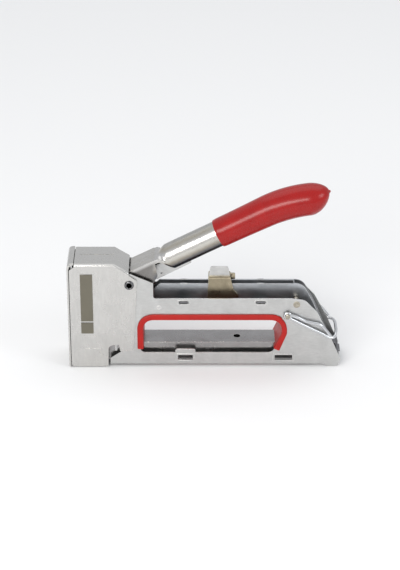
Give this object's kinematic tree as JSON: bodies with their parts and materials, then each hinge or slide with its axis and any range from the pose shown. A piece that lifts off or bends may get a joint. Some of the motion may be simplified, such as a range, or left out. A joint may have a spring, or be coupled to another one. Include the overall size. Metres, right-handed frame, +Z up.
{
  "type": "staple gun",
  "caption": "Hand squeeze staple gun with a folded steel body, red dipped grip, red finger guard, sliding power adjuster, rear loading magazine and a tail wire bail.",
  "frame": {"origin": "under the middle of the gun, on the plane that the nose foot and tail foot rest on", "axes": "+X from the nose to the tail, +Y to the gun's right side, +Z up"},
  "size_m": [0.187, 0.034, 0.1319],
  "materials": {
    "zinc_sheet": "bright zinc plated sheet, satin with faint rolling lines",
    "chrome_sheet": "polished plated sheet with soft edges",
    "handle_chrome": "polished plated steel",
    "channel_chrome": "polished plated sheet",
    "rail_steel": "blued grey brushed steel",
    "dark_steel": "plain pressed steel",
    "spring_steel": "tempered spring steel",
    "gold_zinc": "yellow passivated zinc",
    "pin_steel": "turned steel, slightly yellow",
    "bail_wire": "polished plated wire",
    "red_plastic": "moulded red plastic, semi gloss",
    "red_vinyl": "glossy dipped vinyl",
    "label_paint": "olive grey printed panel",
    "black_rubber": "dull black rubber",
    "staple_wire": "bright galvanised wire"
  },
  "bodies": {
    "frame": {"left_shell": "zinc_sheet", "right_shell": "zinc_sheet", "head_jacket": "chrome_sheet", "nose_plate": "chrome_sheet", "nose_guide": "dark_steel", "label_plate": "label_paint", "top_rail": "rail_steel", "front_rail_spacer": "dark_steel", "rear_rail_spacer": "dark_steel", "finger_guard": "red_plastic", "handle_pivot_pin": "pin_steel", "handle_return_spring": "spring_steel", "plunger_bumper": "black_rubber", "bumper_shelf": "dark_steel", "main_spring_long_leaf": "spring_steel", "main_spring_short_leaf": "spring_steel", "magazine_channel": "channel_chrome", "front_channel_bracket": "dark_steel", "rear_channel_bracket": "dark_steel", "staple_stick": "staple_wire", "bail_pin_left": "pin_steel", "bail_pin_right": "pin_steel", "rear_rivet": "pin_steel"},
    "handle": {"handle_arm": "handle_chrome", "grip": "red_vinyl", "lift_lever": "zinc_sheet"},
    "striker": {"plunger": "dark_steel", "driver_blade": "spring_steel"},
    "slider": {"power_slider": "gold_zinc", "fulcrum_pad": "dark_steel"},
    "loader": {"loader_rail": "dark_steel", "loader_latch": "dark_steel", "pusher_rod": "dark_steel"},
    "pusher": {"staple_pusher": "dark_steel", "pusher_spring": "spring_steel"},
    "bail": {"wire_bail": "bail_wire"}
  },
  "joints": [
    {"name": "handle_hinge", "type": "hinge", "parent": "frame", "child": "handle", "pos_m": [-0.0514, 0, 0.0635], "axis": [0, 1, 0], "range_deg": [0, 20], "stiffness_Nm_per_rad": 1.2, "springref_deg": -20.05, "deforming": ["handle_return_spring"]},
    {"name": "striker_slide", "type": "slide", "parent": "frame", "child": "striker", "axis": [0, 0, 1], "range_m": [0, 0.0118], "deforming": ["main_spring_long_leaf", "main_spring_short_leaf"]},
    {"name": "power_slide", "type": "slide", "parent": "frame", "child": "slider", "axis": [1, 0, 0], "range_m": [0, 0.026]},
    {"name": "loader_slide", "type": "slide", "parent": "frame", "child": "loader", "axis": [1, 0, 0], "range_m": [0, 0.1]},
    {"name": "pusher_slide", "type": "slide", "parent": "loader", "child": "pusher", "axis": [1, 0, 0], "range_m": [0, 0.06], "stiffness_N_per_m": 30, "springref_m": -0.06, "deforming": ["pusher_spring"]},
    {"name": "bail_hinge", "type": "hinge", "parent": "frame", "child": "bail", "pos_m": [0.0563, 0, 0.0403], "axis": [0, -1, 0], "range_deg": [0, 55]}
  ],
  "couplings": [
    {"joint": "striker_slide", "follows": "handle_hinge", "m_per_rad": 0.0336}
  ]
}
